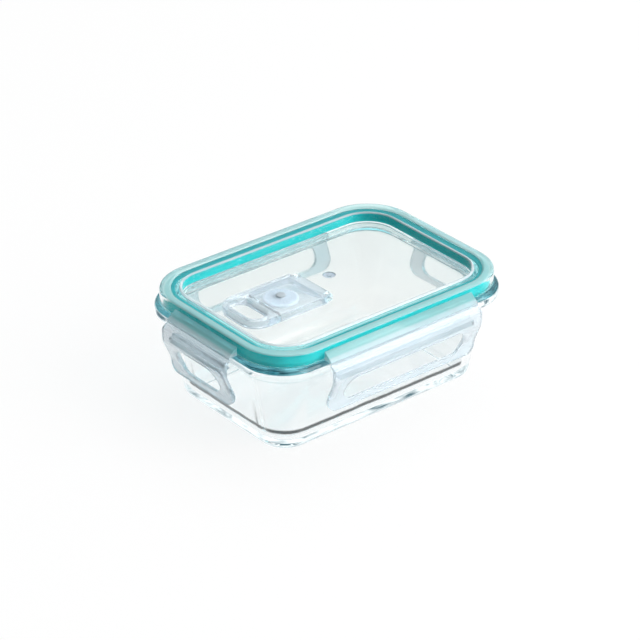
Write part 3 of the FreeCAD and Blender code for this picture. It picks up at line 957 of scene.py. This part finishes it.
@dataclass
class Studio:
    """Floor, lamps, surrounding light and camera.

    From table_near to table_far the floor turns dark to rays that glass or plastic has bent,
    and near the horizon and on the left the surrounding light does.
    """

    floor_half: float = 1.25
    floor_drop: float = 0.0004
    table_near: float = 0.55
    table_far: float = 0.9
    floor_glow: float = 0.88
    floor_seen: Colour = (0.90, 0.90, 0.90)
    floor_matt: Colour = (0.60, 0.61, 0.62)
    sky: Colour = (0.93, 0.96, 0.98)
    sky_span: Point = (0.06, 0.22)
    left_span: tuple[float, float, float, float] = (-0.5, 0.2, 0.06, 1.0)
    sky_strength: float = 0.85
    lamps: tuple[Lamp, ...] = (
        Lamp("key_lamp", (0.8, -1.5, 1.2), 1.5, 36.0, (1.0, 0.99, 0.98)),
        Lamp("top_lamp", (0.7, 0.3, 1.7), 1.7, 12.0, (1.0, 0.99, 0.97)))
    lens: float = 160.73
    sensor: float = 36.0
    bearing: float = 39.437
    pitch: float = 29.1536
    distance: float = 1.3135
    target: Place = (-1.4125 * MM, 3.7687 * MM, 30.6094 * MM)

    def set_floor(self) -> None:
        """Lay a white floor that stays white to the eye and keeps a soft shadow."""
        floor = added("studio_floor", bpy.ops.mesh.primitive_plane_add,
                      size=2 * self.floor_half, location=(0.0, 0.0, -self.floor_drop))
        settle(floor)
        board = NodeBoard(bpy.data.materials.new("studio_white"))
        path = board.add("LightPath").outputs
        bent = board.math("MAXIMUM", path["Is Glossy Ray"], path["Is Transmission Ray"])
        seen = board.math("MAXIMUM", path["Is Camera Ray"], bent)
        away = board.add("VectorMath", {0: board.place}, operation="LENGTH").outputs["Value"]
        dark = board.product(board.span(away, self.table_near, self.table_far), bent)
        glow = board.add("Emission", {"Color": board.mixed(dark, WHITE, DARK_ROOM)})
        pale, matt = (board.add("BsdfDiffuse", {"Color": colour}).outputs["BSDF"]
                      for colour in (self.floor_seen, self.floor_matt))
        kept = board.either(self.floor_glow, pale, glow.outputs["Emission"])
        board.add("OutputMaterial", {"Surface": board.either(seen, matt, kept)})
        floor.data.materials.append(board.owner)

    def set_world(self) -> None:
        """Surround the box with soft light that is dark low down and on the left."""
        board = NodeBoard(bpy.data.worlds.new("studio_light"))
        bpy.context.scene.world = board.owner
        way = board.add("SeparateXYZ", {"Vector": board.coordinates["Generated"]}).outputs
        rise = board.shades(way["Z"], DARK_ROOM, self.sky, *self.sky_span)
        tone = board.mixed(1.0, rise, board.span(way["X"], *self.left_span),
                           blend_type="MULTIPLY")
        soft = board.add("Background", {"Color": tone, "Strength": self.sky_strength})
        plain = board.add("Background", {"Color": WHITE})
        seen = board.add("LightPath").outputs["Is Camera Ray"]
        board.add("OutputWorld", {"Surface": board.either(
            seen, soft.outputs["Background"], plain.outputs["Background"])})

    def hang(self, lamp: Lamp) -> None:
        """Hang a lamp that looks at the box.

        Args:
            lamp: Its values.
        """
        aim = (Vector(self.target) - Vector(lamp.place)).to_track_quat("-Z", "Y").to_euler()
        light = added(lamp.name, bpy.ops.object.light_add, type="AREA", location=lamp.place,
                      rotation=aim)
        light.data.shape = "SQUARE"
        light.data.size = lamp.size
        light.data.energy = lamp.energy
        light.data.color = lamp.colour

    def set_camera(self) -> None:
        """Place the camera as fitted to the photograph."""
        bearing, pitch = math.radians(self.bearing), math.radians(self.pitch)
        ahead = Vector((math.sin(bearing) * math.cos(pitch),
                        math.cos(bearing) * math.cos(pitch), -math.sin(pitch)))
        camera = added("photo_camera", bpy.ops.object.camera_add,
                       location=Vector(self.target) - ahead * self.distance,
                       rotation=ahead.to_track_quat("-Z", "Y").to_euler())
        camera.data.lens = self.lens
        camera.data.sensor_width = self.sensor
        camera.data.clip_end = 20.0
        bpy.context.scene.camera = camera

    def build(self) -> None:
        """Set up the whole studio."""
        self.set_floor()
        self.set_world()
        for lamp in self.lamps:
            self.hang(lamp)
        self.set_camera()
        bpy.context.scene.view_settings.view_transform = "Standard"


def report(piece: Piece, body: str) -> None:
    """Log a finished piece, with the edges that don't join exactly two faces.

    Args:
        piece: The piece.
        body: What it moves with.
    """
    shape = bmesh.new()
    shape.from_mesh(piece.data)
    loose = sum(len(edge.link_faces) != 2 for edge in shape.edges)
    shape.free()
    log.info("%s: %d faces, %d open edges, on %s", piece.name, len(piece.data.polygons), loose,
             body)


def no_parts(face: bpy.types.MeshPolygon) -> int:
    """Give every face of a piece its first finish."""
    return 0


def place_piece(piece: Piece, finishes: Sequence[bpy.types.Material], body: str,
                node: str, part_at: Callable[[bpy.types.MeshPolygon], int] = no_parts) -> None:
    """Dress a finished piece, let it ride on its body and stand for a CAD node.

    Args:
        piece: The piece.
        finishes: Its materials.
        body: Name of the body that it moves with.
        node: CAD node that it stands for.
        part_at: Gives the number of a face's material.
    """
    piece.data.materials.clear()
    for finish in finishes:
        piece.data.materials.append(finish)
    for face in piece.data.polygons:
        face.material_index = part_at(face)
    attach(piece, body)
    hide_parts(node)
    report(piece, body)


@dataclass
class GlassBox:
    """The pressed glass container.

    section runs from the middle of the underside to the middle of the floor.
    """

    section: Rows = (
        (48.0, 0.8, 46.3, 0.0), (49.9, 0.8, 46.3, 0.6), (50.9, 0.0, 46.3, 0.6),
        (59.3, 0.0, 46.3, 4.5), (66.3, 41.5, 46.3, 1.5), (71.0, 41.5, 50.0, 2.2),
        (71.0, 48.0, 50.0, 2.6), (63.6, 48.0, 46.5, 1.0), (55.7, 3.8, 46.5, 6.0),
        (49.0, 3.8, 46.5, 0.0))
    floor: float = 3.9 * MM
    mouth: float = 46 * MM
    rim: float = 45.5 * MM
    rim_slope: float = 0.4

    def build(self) -> None:
        """Loft the container and dress it."""
        piece = loft("glass_box", self.section, Ends.CAPPED)
        smooth(piece, 50.0)
        place_piece(piece, [finish.make() for finish in (GLASS, INNER_GLASS, PAINTED_DARK_RIM_GLASS)],
                    "tub", "glass_container", self.part_at)

    def part_at(self, face: bpy.types.MeshPolygon) -> GlassPart:
        """Tell which part of the glass a face belongs to.

        Args:
            face: The face.

        Returns:
            The part.
        """
        place, normal = face.center, face.normal
        inwards = normal.x * place.x + normal.y * place.y < 0.0
        if inwards and self.floor < place.z < self.mouth:
            return GlassPart.INNER_WALL
        if not inwards and place.z > self.rim and normal.z > self.rim_slope:
            return GlassPart.RIM
        return GlassPart.BODY


@dataclass
class Lid:
    """The clear lid plate, with its hinge lands, vent seat and gate mark.

    section runs from the middle of the top to the middle of the underside.
    """

    section: Rows = (
        (54.0, 50.0, 46.5, 0.0), (59.9, 50.0, 45.0, 1.2), (60.1, 55.0, 45.0, 0.9),
        (61.4, 55.0, 44.4, 0.7), (62.0, 54.2, 44.2, 0.5), (65.4, 54.2, 44.2, 0.5),
        (66.1, 55.0, 44.6, 1.0), (70.0, 55.0, 46.5, 1.5), (70.0, 48.4, 46.5, 0.5),
        (68.0, 48.4, 46.5, 0.5), (68.0, 53.5, 46.5, 0.4), (62.7, 53.5, 46.5, 0.4),
        (62.7, 45.6, 46.5, 0.5), (61.1, 45.6, 46.5, 0.5), (61.1, 48.4, 46.5, 0.6),
        (54.0, 48.4, 46.5, 0.0))
    boss: Rows = ((6.3, 49.2), (6.3, 50.2), (6.0, 50.6), (6.0, 51.0), (5.8, 51.2))
    vent_hole: Rows = ((3.3, 47.0), (3.3, 52.0))
    gate_dish: Rows = ((2.2, 49.4), (2.8, 49.55), (3.2, 50.2))
    gate_nub: Rows = ((1.2, 49.0), (1.2, 49.8), (0.9, 50.0))
    vent: Point = (-27.4 * MM, 0.0)
    gate: Point = (6.8 * MM, 7.2 * MM)
    hinge: Point = (-9.0 * MM, 52.1 * MM)
    ear: Point = (10.4 * MM, 12.2 * MM)
    ear_radius: float = 1.7 * MM
    ear_foot: float = 49.2 * MM
    bore: float = 0.9 * MM
    land_reach: float = 4.6 * MM
    land_root: float = 1.2 * MM
    land_top: float = 53.6 * MM
    land_lip: float = 48.9 * MM
    land_foot: float = 48.46 * MM
    hub: float = 46.5 * MM
    gate_reach: float = 3.3 * MM
    gate_low: float = 49.2 * MM
    panel_reach: float = 58 * MM
    panel: Point = (48.3 * MM, 50.05 * MM)
    skirt: float = 70.02 * MM
    bead_low: float = 54.35 * MM
    bead_middle: float = 63.5 * MM
    trough_low: float = 53.8 * MM
    trough: Point = (61 * MM, 66.5 * MM)

    def make_land(self, side: Side) -> Piece:
        """Make one sloping land that carries a hinge film.

        Args:
            side: The side of the lid that it is on.

        Returns:
            The land as a mesh to add to the lid.
        """
        edge, half = side.edge, side.latch_half
        piece = block("land", (-half, -edge - self.land_reach, self.land_foot),
                      (half, -edge + self.land_root, self.land_top))
        edit(piece)
        pick_points(lambda place: place.y < -edge - 1 * MM and place.z > self.land_foot + MM)
        bpy.ops.transform.translate(value=(0.0, 0.0, self.land_lip - self.land_top))
        round_edges(piece, lambda a, b: min(abs(a.x), abs(b.x)) > half - NEAR
                    and max(a.y, b.y) > -edge and abs(a.z - b.z) > 2 * MM
                    and abs(a.y - b.y) > 2 * MM, 1.2 * MM)
        lip = along(0, high_y=-edge - 2 * MM, low_z=self.land_foot + 0.1 * MM)
        round_edges(piece, lip, 0.2 * MM)
        turn_to(piece, side)
        return piece

    def make_ear(self, sign: float) -> Piece:
        """Make one round-topped ear that carries a pin of the flap.

        Args:
            sign: Which end of the flap's barrel it stands at.

        Returns:
            The ear as a mesh to add to the lid.
        """
        pin_x, pin_z = self.hinge
        inner, outer = sorted(sign * end for end in self.ear)
        piece = block("ear", (pin_x - self.ear_radius, inner, self.ear_foot),
                      (pin_x + self.ear_radius, outer, pin_z + self.ear_radius))
        round_edges(piece, along(1, low_z=pin_z), self.ear_radius - 0.01 * MM, 10)
        return piece

    def raised(self) -> Piece:
        """Make all that stands on the plate: vent boss, ears and lands."""
        return joined(turned("boss", self.boss, self.vent), self.make_ear(-1.0),
                      self.make_ear(1.0), *(self.make_land(side) for side in Side))

    def sunk(self) -> Piece:
        """Make all that is cut from the plate: vent hole, gate mark and pin holes.

        Returns:
            One mesh of all of them.
        """
        pin_x, pin_z = self.hinge
        middle = sum(self.ear) / 2
        bores = [rod(self.bore, 4 * MM, (pin_x, sign * middle, pin_z), 32) for sign in (-1.0, 1.0)]
        return joined(turned("hole", self.vent_hole, self.vent),
                      turned("dish", self.gate_dish, self.gate), *bores)

    def build(self) -> None:
        """Loft the lid, add what stands on it, cut its holes and dress it."""
        piece = loft("lid_plate", self.section, Ends.CAPPED)
        combine(piece, self.raised(), Join.ADD)
        combine(piece, self.sunk(), Join.CUT)
        combine(piece, turned("nub", self.gate_nub, self.gate), Join.ADD)
        smooth(piece, 38.0)
        finishes = (BORDER_PLASTIC, PANEL_PLASTIC, OUTER_BEAD_PLASTIC, INNER_BEAD_PLASTIC,
                    LAND_PLASTIC, FLAP_PLASTIC, TROUGH_PLASTIC)
        place_piece(piece, [finish.make() for finish in finishes], "lid", "lid",
                    self.part_at)

    def part_at(self, face: bpy.types.MeshPolygon) -> LidPart:
        """Tell which part of the lid a face belongs to.

        Args:
            face: The face.

        Returns:
            The part.
        """
        place = face.center
        x, y = abs(place.x), abs(place.y) + LONGER
        ring = Vector((max(x - self.hub, 0.0), max(y - self.hub, 0.0))).length + self.hub
        if (place.xy - Vector(self.gate)).length < self.gate_reach and place.z > self.gate_low:
            return LidPart.GATE_MARK
        if max(x, y) < self.panel_reach and self.panel[0] < place.z < self.panel[1]:
            return LidPart.PANEL
        if max(x, y) > self.skirt:
            return LidPart.LAND
        if place.z > self.bead_low:
            return LidPart.OUTER_BEAD if ring > self.bead_middle else LidPart.INNER_BEAD
        if place.z > self.trough_low and self.trough[0] < ring < self.trough[1]:
            return LidPart.TROUGH
        return LidPart.BORDER


@dataclass
class LidSeal:
    """The silicone ring in the lid's groove: a flat body with two lips below."""

    section: Rows = (
        (62.8, 53.4, 46.5, 0.7), (67.9, 53.4, 46.5, 0.9), (67.9, 49.6, 46.5, 0.3),
        (67.4, 49.4, 46.5, 0.2), (67.4, 48.0, 46.5, 0.5), (66.1, 48.0, 46.5, 0.5),
        (66.1, 49.6, 46.5, 0.3), (64.6, 49.6, 46.5, 0.3), (64.6, 48.0, 46.5, 0.5),
        (63.3, 48.0, 46.5, 0.5), (63.3, 49.4, 46.5, 0.2), (62.8, 49.6, 46.5, 0.3))

    def build(self) -> None:
        """Loft the ring and dress it."""
        piece = loft("seal_ring", self.section, Ends.JOINED)
        smooth(piece, 45.0)
        place_piece(piece, [SEAL_SILICONE.make()], "lid", "lid_seal")


@dataclass
class Latch:
    """The form of a side latch, made at the front and turned to its sides.

    Rows hold the distance out from the lid's edge, the height and the rounding of a corner.
    ridge is the outline of one shoulder line about its middle.
    """

    sides: tuple[Side, ...]
    strip: Rows = (
        (4.0, 47.6, 0.0), (4.6, 47.6, 0.0), (7.0, 46.0, 0.4), (7.5, 45.2, 0.4),
        (7.5, 39.2, 1.8), (2.75, 28.5, 1.8), (2.75, 22.5, 0.0), (1.2, 22.5, 0.0),
        (1.2, 28.5, 1.2), (5.7, 39.2, 1.2), (5.7, 45.2, 0.5), (4.0, 46.7, 0.0))
    hook: Rows = (
        (6.6, 39.6, 0.0), (5.7, 39.6, 0.0), (1.2, 40.6, 0.2), (1.2, 41.3, 0.2),
        (5.7, 42.3, 0.0), (6.6, 42.3, 0.0))
    shoulder_lines: Rows = ((5.45, 47.1), (5.95, 46.78), (6.45, 46.46))
    ridge: Rows = ((-0.20, -0.20), (0.10, -0.28), (0.30, -0.06), (0.24, 0.06), (0.0, 0.20),
                   (-0.14, 0.16))
    hook_inset: float = 4 * MM
    line_inset: float = 1.6 * MM
    window: Point = (25.5 * MM, 38.6 * MM)
    window_corner: float = 6.0 * MM
    leg: float = 8.0 * MM
    outline: Point = (22.5 * MM, 60 * MM)
    lower_corner: float = 5.0 * MM
    depth: float = 12 * MM
    edge_round: float = 0.28 * MM

    def strip_of(self, name: str, rows: Rows, half_width: float) -> Piece:
        """Extrude rows of the latch along the front edge of the lid.

        Args:
            name: Name of the mesh.
            rows: The rows.
            half_width: Half the extrusion.

        Returns:
            The mesh.
        """
        edge = self.sides[0].edge
        return prism(name, [(-edge - out * MM, height * MM, rounding * MM)
                            for out, height, rounding in rows], half_width)

    def through(self, name: str, half_width: float, heights: Point) -> Piece:
        """Make a box that reaches through the latch between two heights."""
        edge = self.sides[0].edge
        return block(name, (-half_width, -edge - self.depth, heights[0]),
                     (half_width, -edge + self.depth, heights[1]))

    def model(self, name: str) -> Piece:
        """Model the latch at the front: strip, hook, finger window and round lower corners.

        Args:
            name: Name of the piece.

        Returns:
            The piece.
        """
        half = self.sides[0].latch_half
        piece = self.strip_of(name, self.strip, half)
        combine(piece, self.strip_of("hook", self.hook, half - self.hook_inset), Join.ADD)
        window = self.through("window", half - self.leg, self.window)
        round_edges(window, along(1), self.window_corner, 12)
        combine(piece, window, Join.CUT)
        outline = self.through("outline", half, self.outline)
        round_edges(outline, along(1, high_z=30 * MM), self.lower_corner, 10)
        combine(piece, outline, Join.KEEP_COMMON)
        soften(piece, self.edge_round, 50.0)
        for out, height in self.shoulder_lines:
            rows = [(out + x, height + z, 0.0) for x, z in self.ridge]
            combine(piece, self.strip_of("line", rows, half - self.line_inset), Join.ADD)
        smooth(piece, 40.0)
        return piece

    def build(self) -> None:
        """Model the latch once, copy it to each of its sides and dress it."""
        finish = LATCH_PLASTIC.make()
        first = self.model(f"{self.sides[0].label}_latch")
        pieces = [first] + [copy_of(first, f"{side.label}_latch") for side in self.sides[1:]]
        for piece, side in zip(pieces, self.sides):
            turn_to(piece, side)
            name = f"latch_{side.label}"
            place_piece(piece, [finish], name, name)


@dataclass
class HingeFilm:
    """A thin living hinge between a land and a latch."""

    side: Side
    top: float = 48.4 * MM
    foot: float = 47.6 * MM
    outer: float = 4.6 * MM
    inner: float = 4.2 * MM
    waist: float = 0.62
    waist_half: float = 0.25 * MM
    cuts: int = 7

    def build(self, finish: bpy.types.Material) -> None:
        """Model the film with a thin waist between lid and latch.

        Args:
            finish: The lid's plastic.
        """
        edge, half = self.side.edge, self.side.latch_half
        piece = block(f"film_{self.side.label}", (-half, -edge - self.outer, self.foot),
                      (half, -edge - self.inner, self.top))
        edit(piece)
        pick_edges(along(2))
        bpy.ops.mesh.subdivide(number_cuts=self.cuts)
        middle = (self.top + self.foot) / 2
        pick_points(lambda place: abs(place.z - middle) < self.waist_half)
        bpy.ops.transform.resize(value=(1.0, self.waist, 1.0),
                                 center_override=(0.0, -edge - self.outer, middle))
        turn_to(piece, self.side)
        smooth(piece, 60.0)
        piece.data.materials.append(finish)
        latch = f"latch_{self.side.label}"
        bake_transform(piece)
        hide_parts(f"hinge_film_{self.side.label}")
        report(piece, f"lid and {latch}")


@dataclass
class VentFlap:
    """The flip cover of the vent, with its finger loop, barrel and pins."""

    loop_end: float = -54.3 * MM
    half_width: float = 13.7 * MM
    top: float = 54.0 * MM
    foot: float = 50.2 * MM
    plate: float = 1.2 * MM
    wall: float = 1.3 * MM
    loop_corner: float = 8.5 * MM
    hinge_corner: float = 0.8 * MM
    box: Point = (-38.3 * MM, -11.2 * MM)
    box_corner: float = 2.0 * MM
    finger: Point = (-51.3 * MM, -40.8 * MM)
    finger_half: float = 10.7 * MM
    finger_corner: float = 4.5 * MM
    through: Point = (40 * MM, 60 * MM)
    notch_x: float = -11.2 * MM
    notch_end: float = 20 * MM
    hinge: Point = (-9.0 * MM, 52.1 * MM)
    barrel: Point = (1.9 * MM, 10.2 * MM)
    pins: Point = (0.8 * MM, 12.2 * MM)
    edge_round: float = 0.35 * MM

    def model(self) -> Piece:
        """Model the plate, loop, box walls, barrel and pins as one moulding.

        Returns:
            The piece.
        """
        half, (hinge_x, hinge_z), (low, high) = self.half_width, self.hinge, self.through
        piece = block("vent_cover", (self.loop_end, -half, self.foot), (hinge_x, half, self.top))
        round_edges(piece, along(2, high_x=-50 * MM), self.loop_corner, 14)
        round_edges(piece, along(2, low_x=-12 * MM), self.hinge_corner, 4)
        cavity = block("cavity", (self.box[0] + self.wall, -half + self.wall, self.foot - MM),
                       (self.box[1] - self.wall, half - self.wall, self.top - self.plate))
        round_edges(cavity, along(2), self.box_corner)
        combine(piece, cavity, Join.CUT)
        finger = block("finger", (self.finger[0], -self.finger_half, low),
                       (self.finger[1], self.finger_half, high))
        round_edges(finger, along(2), self.finger_corner, 12)
        combine(piece, finger, Join.CUT)
        inner, outer = self.barrel[1], self.notch_end
        notches = [block("notch", (self.notch_x, start, low), (0.0, end, high))
                   for start, end in ((-outer, -inner), (inner, outer))]
        combine(piece, joined(*notches), Join.CUT)
        for radius, reach in (self.barrel, self.pins):
            combine(piece, rod(radius, 2 * reach, (hinge_x, 0.0, hinge_z), 40), Join.ADD)
        return piece

    def build(self) -> None:
        """Model the flap, round its edges and dress it."""
        piece = self.model()
        soften(piece, self.edge_round, 45.0)
        smooth(piece, 40.0)
        place_piece(piece, [FLAP_PLASTIC.make()], "vent", "vent_flap")


@dataclass
class VentPlug:
    """The silicone plug of the vent, from its bung to its button."""

    rings: Rows = (
        (2.2, 47.8), (2.6, 48.0), (3.1, 51.0), (3.1, 51.2), (7.9, 51.2), (8.25, 51.5),
        (8.25, 52.4), (7.9, 52.75), (7.2, 52.8), (1.5, 52.8), (1.5, 54.0), (2.1, 54.0),
        (2.3, 54.2), (2.2, 54.6), (1.6, 54.8), (0.6, 54.8))
    centre: Point = (-27.4 * MM, 0.0)
    button_low: float = 53.9 * MM

    def build(self) -> None:
        """Turn the plug and dress it."""
        piece = turned("vent_bung", self.rings, self.centre)
        smooth(piece, 45.0)
        # Faces above the button's foot get the darker copy: painted shade on the lamp-lit button.
        place_piece(piece, [PLUG_SILICONE.make(), PAINTED_SHADE_BUTTON_SILICONE.make()], "vent",
                    "vent_plug", lambda face: int(face.center.z > self.button_low))


def main() -> None:
    """Build the studio and every sub-assembly in order."""
    logging.basicConfig(level=logging.INFO, format="%(name)s %(message)s")
    Studio().build()
    GlassBox().build()
    Lid().build()
    LidSeal().build()
    Latch((Side.FRONT, Side.BACK)).build()
    Latch((Side.LEFT, Side.RIGHT)).build()
    film_finish = LATCH_PLASTIC.make()
    for side in Side:
        HingeFilm(side).build(film_finish)
    VentFlap().build()
    VentPlug().build()
    deselect()


if __name__ == "__main__":
    main()
